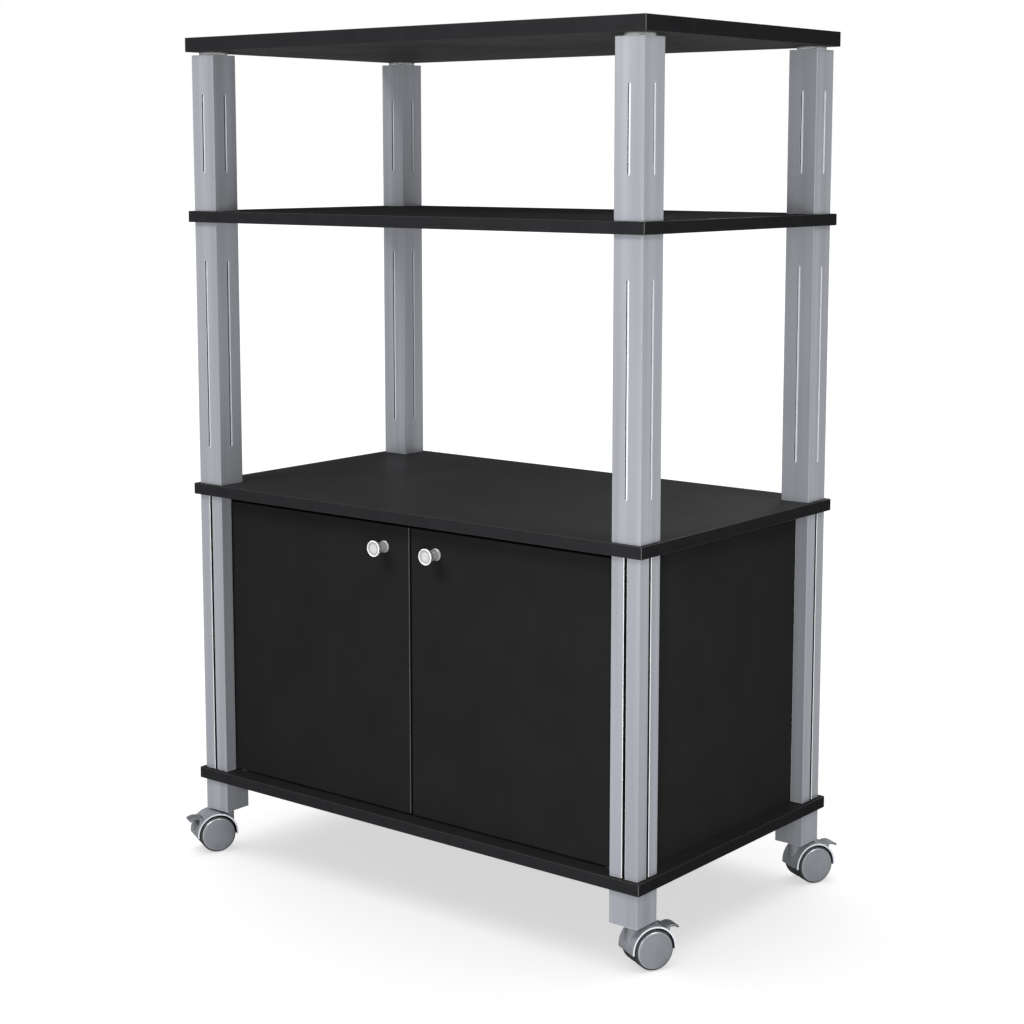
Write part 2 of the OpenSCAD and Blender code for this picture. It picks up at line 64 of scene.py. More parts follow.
# %% Place the camera
PHOTO_SIDE = 1024
FOCAL_PX = 2026.7
SHIFT_PX = -76
CAMERA_PLACE = (1.3476, -1.6710, 0.7688)
CAMERA_TILT = 7.818
CAMERA_TURN = 38.679
camera_data = bpy.data.cameras.new("photo_camera")
camera_data.sensor_width = 36
camera_data.lens = FOCAL_PX * camera_data.sensor_width / PHOTO_SIDE
camera_data.shift_y = SHIFT_PX / PHOTO_SIDE
camera = bpy.data.objects.new("photo_camera", camera_data)
camera.location = CAMERA_PLACE
camera.rotation_euler = (math.radians(90 - CAMERA_TILT), 0, math.radians(CAMERA_TURN))
bpy.context.scene.collection.objects.link(camera)
bpy.context.scene.camera = camera
print("lens", round(camera_data.lens, 2), "mm, shift", round(camera_data.shift_y, 3))

# %% [markdown]
# ## Floor and room
# The cart stands on a white floor that fades into a white wall, so one very large plane is floor and wall at
# once. It lies a hair below the wheels, so that the two never share a surface.

# %% The floor's plane
FLOOR_HALF = 60
FLOOR_Z = -0.0002
scene = bpy.context.scene
scene.view_settings.view_transform = "Standard"
scene.view_settings.look = "None"


def to_object(bm, name, materials):
    """Turns a finished bmesh into an object of the scene. The object stays at the origin."""
    mesh = bpy.data.meshes.new(name)
    bm.to_mesh(mesh)
    bm.free()
    for mat in materials:
        mesh.materials.append(mat)
    obj = bpy.data.objects.new(name, mesh)
    scene.collection.objects.link(obj)
    return obj


bm = bmesh.new()
bmesh.ops.create_grid(bm, x_segments=1, y_segments=1, size=FLOOR_HALF)
bmesh.ops.translate(bm, vec=(0, 0, FLOOR_Z), verts=bm.verts)
floor = to_object(bm, "studio_floor", [])
print("floor:", floor.dimensions[:])

# %% [markdown]
# The room is white to the camera and dim to all other rays. A room that shone as brightly as it looks would
# light every face alike, and the posts would lose their light and dark sides.

# %% The room
ROOM_FILL = 0.14
ROOM_TINT = (0.97, 0.98, 1, 1)
WHITE = (1, 1, 1, 1)
world = bpy.data.worlds.new("studio_room")
scene.world = world
world.use_nodes = True
room, room_links = world.node_tree.nodes, world.node_tree.links
fill = room["Background"]
fill.inputs["Color"].default_value = ROOM_TINT
fill.inputs["Strength"].default_value = ROOM_FILL
paper = room.new("ShaderNodeBackground")
paper.inputs["Color"].default_value = WHITE
ray = room.new("ShaderNodeLightPath")
choose = room.new("ShaderNodeMixShader")
room_links.new(ray.outputs["Is Camera Ray"], choose.inputs["Fac"])
room_links.new(fill.outputs["Background"], choose.inputs[1])
room_links.new(paper.outputs["Background"], choose.inputs[2])
room_links.new(choose.outputs["Shader"], room["World Output"].inputs["Surface"])
print("room fill:", ROOM_FILL)

# %% [markdown]
# ## Lamps
# A wide sun overhead makes the pale shadow. Four soft boxes light the cart alone: one high in front, one high
# on the right, one behind, and a low one beside the camera. Light linking leaves the floor out of the boxes,
# because they would burn it out and wash the shadow away. The low box stands where upright faces would mirror
# it as a white patch, so it is left out of reflections.

# %% The lamps
SUN_WIDTH = 75
all_but_the_floor = bpy.data.collections.new("left_out_of_the_lamps")
all_but_the_floor.objects.link(floor)
all_but_the_floor.collection_objects[0].light_linking.link_state = "EXCLUDE"


def lamp_at(name, kind, where, aim):
    data = bpy.data.lights.new(name, kind)
    lamp = bpy.data.objects.new(name, data)
    lamp.location = where
    lamp.rotation_euler = (Vector(aim) - Vector(where)).to_track_quat("-Z", "Y").to_euler()
    scene.collection.objects.link(lamp)
    return lamp


def soft_box(name, where, aim, width, height, watts):
    lamp = lamp_at(name, "AREA", where, aim)
    lamp.data.shape = "RECTANGLE"
    lamp.data.size, lamp.data.size_y = width, height
    lamp.data.energy = watts
    lamp.visible_camera = False
    lamp.light_linking.receiver_collection = all_but_the_floor
    return lamp


ceiling = lamp_at("ceiling_light", "SUN", (-0.5, 0.1, 3), (0, 0, 0))
ceiling.data.angle = math.radians(SUN_WIDTH)
ceiling.data.energy = 1.5
soft_box("front_light", (-0.6, -1.9, 2.3), (0, 0, 0.35), 1.2, 0.9, 60)
soft_box("right_light", (1.6, 0.0, 2.0), (0, 0, 0.4), 0.8, 0.9, 26)
soft_box("back_light", (-0.5, 2.5, 2.4), (0, 0, 0.45), 1.3, 0.9, 50)
low_box = soft_box("camera_light", (1.15, -1.5, 0.55), (0.2, -0.1, 0.3), 0.7, 0.8, 35)
low_box.visible_glossy = False

# %% [markdown]
# ## Finishes
# A finish on a real thing is never one flat colour. Each one here mixes two close colours by a noise of the
# right size, varies its gloss with a second, broader noise and roughens the surface with a fine bump. Object
# coordinates keep the pattern in place on its piece when the piece moves.

# %% Helpers that make a finish
BUMP_MM = 0.05
PATCH_DETAIL, FINE_DETAIL = 5, 3
BLOTCH_SCALE = 0.4
NOISE_LOW, NOISE_HIGH = 0.3, 0.7


def srgb(value):
    """The linear amount of light of a grey level from 0 to 255."""
    value = value / 255
    return value / 12.92 if value <= 0.04045 else ((value + 0.055) / 1.055) ** 2.4


def grey(value, tint=(1, 1, 1)):
    return tuple(min(1, srgb(value) * t) for t in tint) + (1,)


def noise(tree, where, scale, detail):
    texture = tree.nodes.new("ShaderNodeTexNoise")
    texture.inputs["Scale"].default_value = scale
    texture.inputs["Detail"].default_value = detail
    tree.links.new(where, texture.inputs["Vector"])
    return texture.outputs["Fac"]


def finish(name, light, dark, patch, gloss, grain, bump, metal=0.0, specular=0.5, ior=1.5, stretch=(1, 1, 1)):
    """patch and grain are the noises' scales for colour and bump, and gloss is the range of the roughness."""
    mat = bpy.data.materials.new(name)
    mat.use_nodes = True
    tree = mat.node_tree
    nodes, links = tree.nodes, tree.links
    shader = nodes["Principled BSDF"]
    shader.inputs["Metallic"].default_value = metal
    shader.inputs["Specular IOR Level"].default_value = specular
    shader.inputs["IOR"].default_value = ior
    mapping = nodes.new("ShaderNodeMapping")
    mapping.inputs["Scale"].default_value = stretch
    links.new(nodes.new("ShaderNodeTexCoord").outputs["Object"], mapping.inputs["Vector"])
    where = mapping.outputs["Vector"]
    mix = nodes.new("ShaderNodeMix")
    mix.data_type = "RGBA"
    mix.inputs["A"].default_value = dark
    mix.inputs["B"].default_value = light
    links.new(noise(tree, where, patch, PATCH_DETAIL), mix.inputs["Factor"])
    links.new(mix.outputs["Result"], shader.inputs["Base Color"])
    level = nodes.new("ShaderNodeMapRange")
    level.inputs["From Min"].default_value = NOISE_LOW
    level.inputs["From Max"].default_value = NOISE_HIGH
    level.inputs["To Min"].default_value = gloss[0]
    level.inputs["To Max"].default_value = gloss[1]
    links.new(noise(tree, where, patch * BLOTCH_SCALE, FINE_DETAIL), level.inputs["Value"])
    links.new(level.outputs["Result"], shader.inputs["Roughness"])
    relief = nodes.new("ShaderNodeBump")
    relief.inputs["Strength"].default_value = bump
    relief.inputs["Distance"].default_value = BUMP_MM * MM
    links.new(noise(tree, where, grain, FINE_DETAIL), relief.inputs["Height"])
    links.new(relief.outputs["Normal"], shader.inputs["Normal"])
    return mat


print("grey 128 as linear light:", round(srgb(128), 3))

# %% [markdown]
# The boards are faced with a nearly black laminate of a faint satin gloss. A low refractive index keeps their
# reflections weak. The cabinet top is a little paler than the rest and the upper shelf is more matt, as they
# look in the photograph. Edges and corners get a paler grey, a painted highlight where their rounds catch
# the light.

# %% Black laminate, bands and painted edge highlights
SHEET_GRAIN = {"patch": 22, "grain": 1400, "bump": 0.12}
EDGE_HIGHLIGHT = {"patch": 140, "gloss": (0.35, 0.5), "grain": 2000, "bump": 0.1, "specular": 0.3}
BLUISH = (1, 1, 1.1)
laminate = finish("black_laminate", grey(32), grey(25), gloss=(0.36, 0.44), specular=0.15, ior=1.12,
                  **SHEET_GRAIN)
door_laminate = finish("black_door_laminate", grey(31), grey(24), gloss=(0.36, 0.44), specular=0.15, ior=1.12,
                       **SHEET_GRAIN)
top_laminate = finish("black_top_laminate", grey(38), grey(30), gloss=(0.34, 0.42), specular=0.18, ior=1.14,
                      **SHEET_GRAIN)
shelf_laminate = finish("matt_shelf_laminate", grey(40), grey(31), gloss=(0.55, 0.65), specular=0.04,
                        ior=1.05, **SHEET_GRAIN)
# painted light: the boards' undersides get a laminate much paler than their tops, standing for light from below
lit_underside = finish("underside_painted_light", grey(76), grey(56), patch=30, gloss=(0.48, 0.58), grain=900,
                 bump=0.12, specular=0.08, ior=1.08)
edge_band = finish("black_edge_band", grey(35, BLUISH), grey(27, BLUISH), patch=60, gloss=(0.36, 0.46),
                   grain=900, bump=0.15, specular=0.2, ior=1.18)
# painted shade: a darker copy of the edge band for the boards' left and right edges
shaded_side_band = finish("painted_shade_band", grey(27, BLUISH), grey(19, BLUISH), patch=60, gloss=(0.4, 0.5),
                   grain=900, bump=0.15, specular=0.15, ior=1.15)
# painted highlight: the boards' upright corners and the rims of their sheets are paler than the band
corner_highlight = finish("corner_painted_highlight", grey(80), grey(56), **EDGE_HIGHLIGHT)
board_lip_highlight = finish("board_lip_highlight", grey(52), grey(30), ior=1.2, **EDGE_HIGHLIGHT)
# painted highlight for the door lips that face right
door_lip_highlight = finish("door_lip_highlight", grey(88), grey(70), **EDGE_HIGHLIGHT)
hardboard = finish("black_hardboard", grey(34), grey(27), patch=18, gloss=(0.45, 0.55), grain=900, bump=0.2,
                   specular=0.15, ior=1.12)
print("materials so far:", len(bpy.data.materials))

# %% [markdown]
# The posts have a cool silver powder coat, partly metal and partly paint. Its noise is stretched along the
# post, because the faint streaks of a rolled tube run that way.

# %% Silver coats
COOL = (0.95, 0.985, 1.07)
ALONG_POST = (1, 1, 0.02)
powder = finish("silver_powder_coat", grey(198, COOL), grey(148, COOL), patch=75, gloss=(0.34, 0.44),
                grain=2600, bump=0.12, metal=0.6, stretch=ALONG_POST)
# painted highlight: the rounds on the posts and foot tubes are near white
silver_highlight = finish("silver_painted_highlight", grey(252), grey(240), patch=60, gloss=(0.25, 0.35), grain=2600, bump=0.05,
                     metal=0.2)
# painted highlight and painted shade for the walls of slots and grooves
slot_light = finish("slot_light", grey(234, COOL), grey(214, COOL), patch=60, gloss=(0.3, 0.4), grain=2600,
                    bump=0.05, metal=0.2)
slot_shade = finish("slot_shade", grey(34, COOL), grey(22, COOL), patch=60, gloss=(0.4, 0.5), grain=2600,
                    bump=0.1, metal=0.4, stretch=ALONG_POST)
print("materials so far:", len(bpy.data.materials))

# %% [markdown]
# The discs, knobs and small hardware are bare metal. The knobs are cut on a lathe, so their noise is fine and
# strong. The casters are grey plastic, with a painted highlight on the hood's rim and smooth satin caps on
# the wheels.

# %% Metals and plastics
polished = finish("polished_disc", grey(226), grey(210), patch=120, gloss=(0.2, 0.28), grain=3000, bump=0.05,
                  metal=0.8)
# painted shade for the knobs' foot, neck, outer dish and front rib flanks
knob_shade_metal = finish("knob_shade_metal", grey(204), grey(150), patch=420, gloss=(0.3, 0.4), grain=3000, bump=0.3,
                     metal=0.5)
turned = finish("turned_knob", grey(222), grey(182), patch=420, gloss=(0.3, 0.4), grain=3000, bump=0.3,
                metal=0.4)
# painted highlight for the knobs' rims
knob_rim_highlight = finish("knob_rim_highlight", grey(228), grey(212), patch=160, gloss=(0.25, 0.35), grain=2500, bump=0.05)
zinc = finish("zinc_plate", grey(178), grey(150), patch=220, gloss=(0.3, 0.45), grain=2400, bump=0.15,
              metal=0.9)
moulded = finish("grey_moulded_plastic", grey(134, COOL), grey(100, COOL), patch=120, gloss=(0.34, 0.46),
                 grain=3500, bump=0.25)
# painted highlight for the hoods' end rims
hood_rim_highlight = finish("hood_rim_highlight", grey(212, COOL), grey(190, COOL), patch=160, gloss=(0.3, 0.4), grain=2500,
                  bump=0.1)
lever_grey = finish("lever_plastic", grey(98, COOL), grey(74, COOL), patch=120, gloss=(0.34, 0.46),
                    grain=3500, bump=0.25)
cap_grey = finish("satin_cap", grey(176, COOL), grey(152, COOL), patch=90, gloss=(0.3, 0.4), grain=3500,
                  bump=0.15, metal=0.7)
# painted highlight: the shoulders of the wheel caps and the rounded edges of the levers
grey_highlight = finish("grey_painted_highlight", grey(186, COOL), grey(164, COOL), patch=90, gloss=(0.25, 0.35), grain=3500,
                  bump=0.1, metal=0.5)
tread = finish("dark_tread", grey(62), grey(46), patch=150, gloss=(0.5, 0.65), grain=2500, bump=0.3,
               specular=0.3)
painted_shadow_black = finish("painted_shadow_black", grey(6), grey(2), patch=100, gloss=(0.7, 0.8), grain=2500, bump=0.1,
                   specular=0.02, ior=1.05)
# painted shade: the edges where the doors meet, the inside of the hoods and the ring round the pin holes
painted_shade_black = finish("painted_shade_black", grey(20), grey(12), patch=100, gloss=(0.6, 0.7), grain=2500, bump=0.2,
                      specular=0.1)
dark_plastic = finish("dark_plastic", grey(48), grey(36), patch=100, gloss=(0.4, 0.55), grain=2500, bump=0.3,
                      specular=0.3)
print("materials so far:", len(bpy.data.materials))

# %% [markdown]
# The floor has to look white and still show a shadow. A little emission lifts it for the camera alone. All
# other rays meet a plain pale grey, which sends some light back up to the casters and under the boards.

# %% The floor's finish
FLOOR_LIFT = 0.64
FLOOR_BOUNCE = grey(245)
floor_white = finish("floor_white", grey(236), grey(233), patch=2, gloss=(0.6, 0.7), grain=300, bump=0.02,
                     specular=0.1)
floor_nodes, floor_links = floor_white.node_tree.nodes, floor_white.node_tree.links
floor_shader = floor_nodes["Principled BSDF"]
floor_shader.inputs["Emission Color"].default_value = WHITE
seen = floor_nodes.new("ShaderNodeLightPath")
bounce = floor_nodes.new("ShaderNodeMix")
bounce.data_type = "RGBA"
bounce.inputs["A"].default_value = FLOOR_BOUNCE
floor_links.new(seen.outputs["Is Camera Ray"], bounce.inputs["Factor"])
floor_links.new(floor_shader.inputs["Base Color"].links[0].from_socket, bounce.inputs["B"])
floor_links.new(bounce.outputs["Result"], floor_shader.inputs["Base Color"])
lift = floor_nodes.new("ShaderNodeMath")
lift.operation = "MULTIPLY"
lift.inputs[1].default_value = FLOOR_LIFT
floor_links.new(seen.outputs["Is Camera Ray"], lift.inputs[0])
floor_links.new(lift.outputs["Value"], floor_shader.inputs["Emission Strength"])
floor.data.materials.append(floor_white)
print("materials so far:", len(bpy.data.materials))

# %% [markdown]
# ## Pieces that stand for CAD nodes
# A new piece rides with its node's body and hides the node. Its corner normals are weighted by the area of
# the faces around them: broad faces stay flat, and the small rounds between them turn the light. That way a
# round looks smooth with only two or four faces across it.

# %% Helpers for new pieces
BODY_OF = {node: body for body, nodes in frame["record"]["behaviour"]["bodies"].items() for node in nodes}
SLOT_OF = {row["node"]: row["material_slot"] for row in frame["record"]["subparts"]}
SMOOTH_ANGLE = 50


def shade(obj):
    mesh = obj.data
    limit = math.cos(math.radians(SMOOTH_ANGLE))
    around = [[] for _ in mesh.vertices]
    for poly in mesh.polygons:
        poly.use_smooth = True
        for v in poly.vertices:
            around[v].append((poly.normal, poly.area))
    normals = []
    for poly in mesh.polygons:
        for v in poly.vertices:
            near = [way * area for way, area in around[v] if way.dot(poly.normal) > limit]
            total = sum(near, Vector())
            normals.append(total.normalized() if total.length > 0 else poly.normal)
    mesh.normals_split_custom_set(normals)


def stand_in(bm, name, materials, node):
    obj = to_object(bm, name, materials)
    shade(obj)
    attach(obj, BODY_OF[node])
    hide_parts(node)
    return obj


print("bodies to ride on:", len(set(BODY_OF.values())))

# %% [markdown]
# ## Softened edges
# Nothing made in a factory has a perfectly sharp edge: the small round on it is what catches the light. The
# CAD pieces are sharp, so a copy of a node has its loose triangles merged into faces and its sharp edges
# bevelled. A bevel's own faces get the last of the piece's finishes, such as a near-white painted highlight
# on the posts.

# %% A helper that softens a copy of a node
SHARP_ANGLE, FLAT_ANGLE = 38, 0.5
EDGE_STEPS, TUBE_STEPS = 2, 4
UPRIGHT_MM = 10
tube_corners = []
for node in SLOT_OF:
    if node.startswith("cabinet_post_"):
        low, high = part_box(node)
        tube_corners += [(x, y) for x in (low.x, high.x) for y in (low.y, high.y)]


def on_tube_corner(vert):
    return min(math.dist(vert.co.xy, corner) for corner in tube_corners) < 0.1 * MM


def bevel(bm, edges, radius_mm, steps, index, clamp=False):
    """Rounds the edges, and gives the new faces the material of that index."""
    made = bmesh.ops.bevel(bm, geom=edges, offset=radius_mm * MM, segments=steps, profile=0.5, affect="EDGES",
                           clamp_overlap=clamp, material=-1)
    for face in made["faces"]:
        face.material_index = index


def softened(node, radius_mm, materials, corner_mm=0):
    """corner_mm is a wider round for the upright corners of the square tubes."""
    rounds = len(materials) - 1
    bm = bmesh.new()
    bm.from_mesh(frame["nodes"][node].data)
    bmesh.ops.remove_doubles(bm, verts=bm.verts, dist=0.001 * MM)
    bmesh.ops.dissolve_limit(bm, angle_limit=math.radians(FLAT_ANGLE), verts=bm.verts, edges=bm.edges)
    bmesh.ops.recalc_face_normals(bm, faces=bm.faces)
    if corner_mm:
        uprights = [e for e in bm.edges if abs(e.verts[0].co.z - e.verts[1].co.z) > UPRIGHT_MM * MM
                    and all(on_tube_corner(v) for v in e.verts)]
        bevel(bm, uprights, corner_mm, TUBE_STEPS, rounds)
    sharp = [e for e in bm.edges
             if len(e.link_faces) == 2 and e.calc_face_angle(0) > math.radians(SHARP_ANGLE)]
    bevel(bm, sharp, radius_mm, EDGE_STEPS, rounds, clamp=True)
    return stand_in(bm, node + "_made", materials, node)


print("corners of the tubes:", len(tube_corners))

# %% [markdown]
# ## Boards and doors
# Each board is chipboard faced with a black laminate sheet, with a thin band glued round its edges. A cube is
# stretched to the CAD node's box, its corners get a small round, and the sheet's rim gets a finer one that is
# rubbed a little paler, as real edges are. Two insets draw the seam between the sheet and the band.

# %% A helper for slabs
SHEET, BAND, LIP, UNDERSIDE, CORNER, SHADOW, SIDE, MEETING = range(8)
CORNER_STEPS, LIP_STEPS = 3, 2
SEAM_WIDTH_MM, SEAM_DEPTH_MM = 0.15, 0.12


def slab(node, axis, sheet, band, lip, underside=None, corner=None, corner_mm=1.6, lip_mm=0.5, seam_mm=1.0,
         dark_mm=0):
    """A board with sheets across axis. Its top dark_mm is a painted shadow, black as under a board above."""
    low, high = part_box(node)
    bm = bmesh.new()
    bmesh.ops.create_cube(bm, size=1)
    bmesh.ops.scale(bm, vec=high - low, verts=bm.verts)
    bmesh.ops.translate(bm, vec=(low + high) / 2, verts=bm.verts)
    through = [e for e in bm.edges if abs(e.verts[0].co[axis] - e.verts[1].co[axis]) > 0.01 * MM]
    bevel(bm, through, corner_mm, CORNER_STEPS, SHEET)
    sheets = [f for f in bm.faces if abs(f.normal[axis]) > 0.99]
    rims = [e for e in bm.edges if any(f in sheets for f in e.link_faces)]
    for face in bm.faces:
        if face in sheets:
            face.material_index = UNDERSIDE if underside and face.normal[axis] < 0 else SHEET
        elif corner and min(abs(face.normal.x), abs(face.normal.y)) > 0.6:
            face.material_index = CORNER
        else:
            # The left and right edges of flat boards take the darker band as painted shade.
            face.material_index = SIDE if axis == 2 and abs(face.normal.x) > 0.8 else BAND
    if seam_mm:
        bmesh.ops.inset_individual(bm, faces=sheets, thickness=seam_mm * MM, depth=0)
        bmesh.ops.inset_individual(bm, faces=sheets, thickness=SEAM_WIDTH_MM * MM, depth=-SEAM_DEPTH_MM * MM)
    bevel(bm, rims, lip_mm, LIP_STEPS, LIP)
    # painted shadow: the top strip goes black, as under the board above
    if dark_mm:
        line = high.z - dark_mm * MM
        bmesh.ops.bisect_plane(bm, geom=bm.verts[:] + bm.edges[:] + bm.faces[:], plane_co=(0, 0, line),
                               plane_no=(0, 0, 1))
        for face in bm.faces:
            if face.calc_center_median().z > line:
                face.material_index = SHADOW
    materials = [sheet, band, lip, underside or sheet, corner or band, painted_shadow_black, shaded_side_band]
    return stand_in(bm, node + "_slab", materials, node)


# %% The four boards
for node in ("top_board", "upper_shelf", "cabinet_top", "cabinet_base"):
    sheet = {"upper_shelf": shelf_laminate, "cabinet_top": top_laminate}.get(node, laminate)
    board = slab(node, 2, sheet, edge_band, board_lip_highlight, underside=lit_underside, corner=corner_highlight)
    print(node, [round(d / MM, 1) for d in board.dimensions])

# %% [markdown]
# The doors are thinner boards of the same make. Only the lips that face right get a pale painted highlight:
# the photograph shows one fine bright line between the doors, beside a black gap. So the edges where the
# doors meet are painted black as shade, and all other lips keep the colour of the band. The side and back
# panels are plain hardboard.

# %% The doors and panels
DOOR_SHADE_MM = 5


def panel(node, axis):
    return slab(node, axis, hardboard, hardboard, hardboard, corner_mm=0.5, lip_mm=0.3, seam_mm=0)


for side, meeting_way in (("left", 1), ("right", -1)):
    door = slab(side + "_door", 1, door_laminate, edge_band, door_lip_highlight, dark_mm=DOOR_SHADE_MM)
    door.data.materials.append(painted_shade_black)
    # A painted highlight goes only on the lips that face right. The edges where the doors meet are painted black
    # as shade.
    for poly in door.data.polygons:
        if poly.material_index == LIP and poly.normal.x < 0.3:
            poly.material_index = BAND
        elif poly.material_index == BAND and poly.normal.x * meeting_way > 0.8:
            poly.material_index = MEETING
    panel(side + "_side_panel", 0)
    print(side, "door", [round(d / MM, 1) for d in door.dimensions])
panel("back_panel", 1)

# %% [markdown]
# ## Posts
# The posts are square steel tubes with a silver powder coat. The slots are pressed in, so their rims are
# rounded and get a painted highlight. The cabinet's posts have a groove down each face, and panels sit in
# some of them. On the two faces of each post that the photograph shows, the walls that look towards the light
# get a painted highlight and the others painted shade, because a gap of two or three millimetres is too
# narrow for soft light to draw by itself.

# %% The posts and foot tubes
SKIN, ROUND, DULL, BRIGHT = range(4)
POST_EDGE_MM, POST_CORNER_MM = 0.4, 1.1
RECESS_HALF_MM = 2.6
RECESS_TOP_MM, RECESS_MOUTH_MM, RECESS_END_MM = 0.02, 0.6, 8.5


def line_recesses(post, node, grooved):
    """A recess is found by how far a face lies from the middle of the post's right or front side."""
    low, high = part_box(node)
    middle = (low + high) / 2
    # Rims get the painted highlight unless they turn away. Walls get painted highlight or painted shade by the way
    # they face.
    for poly in post.data.polygons:
        spot, way = poly.center, poly.normal
        sides = (("right", 1, (high.x - spot.x) / MM), ("front", 0, (spot.y - low.y) / MM))
        for side, across, depth in sides:
            if abs(way.z) > 0.7 or abs(spot[across] - middle[across]) > RECESS_HALF_MM * MM:
                continue
            if not RECESS_TOP_MM < depth < RECESS_END_MM:
                continue
            if grooved and depth < RECESS_MOUTH_MM:
                poly.material_index = SKIN if side == "right" and way.y > 0.1 else ROUND
            elif grooved:
                poly.material_index = DULL
            elif side == "right":
                poly.material_index = BRIGHT if way.y < -0.3 else DULL
            else:
                poly.material_index = DULL if way.x > 0.3 else BRIGHT


posts = sorted(node for node in SLOT_OF if "_post_" in node)
for node in posts:
    post = softened(node, POST_EDGE_MM, [powder, silver_highlight], corner_mm=POST_CORNER_MM)
    post.data.materials.append(slot_shade)
    post.data.materials.append(slot_light)
    line_recesses(post, node, grooved=node.startswith("cabinet"))
softened("foot_tubes", POST_EDGE_MM, [powder, silver_highlight], corner_mm=POST_CORNER_MM)
print("posts made:", len(posts))

# %% [markdown]
# ## Turned pieces
# Knobs, discs, wheels and caps are round about one axis, as if cut on a lathe. Their half-outline is drawn
# once and spun a full turn, with the last step merged into the first. A stretched cylinder could not give
# them their rims, ribs and domes.

# %% A helper for turned pieces


def turned_shape(bm, outline, place, steps, material=0, closed=False):
    """Spins outline, a list of (radius, height) in mm, round Z, and moves it with the matrix place."""
    verts_before, faces_before = set(bm.verts), set(bm.faces)
    ring = [bm.verts.new((r * MM, 0, h * MM)) for r, h in outline]
    path = [bm.edges.new(pair) for pair in zip(ring, ring[1:] + ring[:1] if closed else ring[1:])]
    bmesh.ops.spin(bm, geom=ring + path, cent=(0, 0, 0), axis=(0, 0, 1), dvec=(0, 0, 0), angle=math.tau,
                   steps=steps, use_merge=True)
    made = [v for v in bm.verts if v not in verts_before]
    bmesh.ops.remove_doubles(bm, verts=made, dist=0.001 * MM)
    faces = [f for f in bm.faces if f not in faces_before]
    bmesh.ops.recalc_face_normals(bm, faces=faces)
    for face in faces:
        face.material_index = material
    made = [v for v in bm.verts if v not in verts_before]
    bmesh.ops.transform(bm, matrix=place, verts=made)


# %% [markdown]
# A polished disc lies between each upper post and the top board. It has a bore for the stud, and both of its
# rims are broken with a small slope.

# %% The discs under the top board
DISC_R, DISC_BORE, DISC_RIM = 15.0, 4.1, 0.5
low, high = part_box("top_discs")
disc_h = (high.z - low.z) / MM
DISC = [(DISC_BORE, 0), (DISC_R - DISC_RIM, 0), (DISC_R, DISC_RIM), (DISC_R, disc_h - DISC_RIM),
        (DISC_R - DISC_RIM, disc_h), (DISC_BORE, disc_h)]
bm = bmesh.new()
for x in (low.x + DISC_R * MM, high.x - DISC_R * MM):
    for y in (low.y + DISC_R * MM, high.y - DISC_R * MM):
        turned_shape(bm, DISC, Matrix.Translation((x, y, low.z)), steps=64, closed=True)
discs = stand_in(bm, "turned_discs", [polished], "top_discs")
print("discs:", [round(d / MM, 1) for d in discs.dimensions])

# %% [markdown]
# Each knob has a foot, a ribbed stem, a flared neck and a head with a raised rim round a ringed dish. The
# ribs and rings are worked out by loops. At the photograph's scale they blur into light and dark zones, so
# light and shade are painted as well: a painted highlight on the rim, a pale middle and stem, and painted
# shade on the foot, the neck, the outer dish and the flanks of the ribs that look to the front.

# %% The knobs
TURNED, RIM, SHADED = range(3)
KNOB_FOOT = [(0, 0), (6.1, 0), (6.3, 0.3), (6.3, 1.0), (5.9, 1.4), (5.5, 1.6)]
KNOB_RIBS = [(5.5 - 0.3 * (k % 2), 2.2 + 0.9 * k) for k in range(9)]
KNOB_HEAD = [(5.6, 10.6), (6.1, 12.2), (7.1, 14.0), (8.1, 15.3), (8.5, 15.9), (8.5, 16.9), (8.35, 17.5),
             (7.9, 17.95), (7.5, 17.95), (7.2, 17.6), (7.0, 17.2)]
DISH_RADII = (6.4, 5.8, 5.2, 4.6, 4.0, 3.4, 2.8, 2.2, 1.6, 1.0, 0)
KNOB_DISH = [(r, 17.05 - 0.12 * (k % 2)) for k, r in enumerate(DISH_RADII)]
KNOB = KNOB_FOOT + KNOB_RIBS + KNOB_HEAD + KNOB_DISH
FOOT_TOP, NECK_START, HEAD_START, RIM_START = 1.8, 10, 15.6, 17.3
DISH_MIDDLE_R, RIM_INNER_R = 4.4, 7.2


def knob_zone(height, reach, faces_front):
    if height > RIM_START and reach > RIM_INNER_R:
        return RIM
    if height > HEAD_START and reach < DISH_MIDDLE_R:
        return TURNED
    if height > NECK_START or height < FOOT_TOP or faces_front:
        return SHADED
    return TURNED


for side in ("left", "right"):
    low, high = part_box(side + "_knob")
    middle_x, middle_z = (low.x + high.x) / 2, (low.z + high.z) / 2
    place = Matrix.Translation((middle_x, high.y, middle_z)) @ Matrix.Rotation(math.pi / 2, 4, "X")
    bm = bmesh.new()
    turned_shape(bm, KNOB, place, steps=64)
    for face in bm.faces:
        spot = face.calc_center_median()
        reach = math.hypot(spot.x - middle_x, spot.z - middle_z) / MM
        face.material_index = knob_zone((high.y - spot.y) / MM, reach, face.normal.y < 0)
    knob = stand_in(bm, side + "_turned_knob", [turned, knob_rim_highlight, knob_shade_metal], side + "_knob")
    print(side, "knob", [round(d / MM, 1) for d in knob.dimensions])

# %% [markdown]
# ## Casters
# Each caster has a drum-shaped hood over two wheels. A frame for each one is set on its axle: Z along the
# axle, X to where the caster trails. Everything on the caster is then drawn in that frame, whichever way the
# caster happens to stand.

# %% The casters' frames
CORNERS = ("front_left", "front_right", "back_left", "back_right")


def axle_frame(corner):
    """The matrix that stands the lathe's Z axis along the caster's axle, in the middle of the caster."""
    joint = next(j for j in frame["joints"] if j["child"] == "roller_" + corner + "_left")
    along = Vector(joint["axis"]).normalized()
    trail = along.cross(Vector((0, 0, 1)))
    turn = Matrix((trail, along.cross(trail), along)).transposed()
    return Matrix.Translation(joint["pos_m"]) @ turn.to_4x4()


for corner in CORNERS:
    print(corner, [round(x, 3) for x in axle_frame(corner).translation])
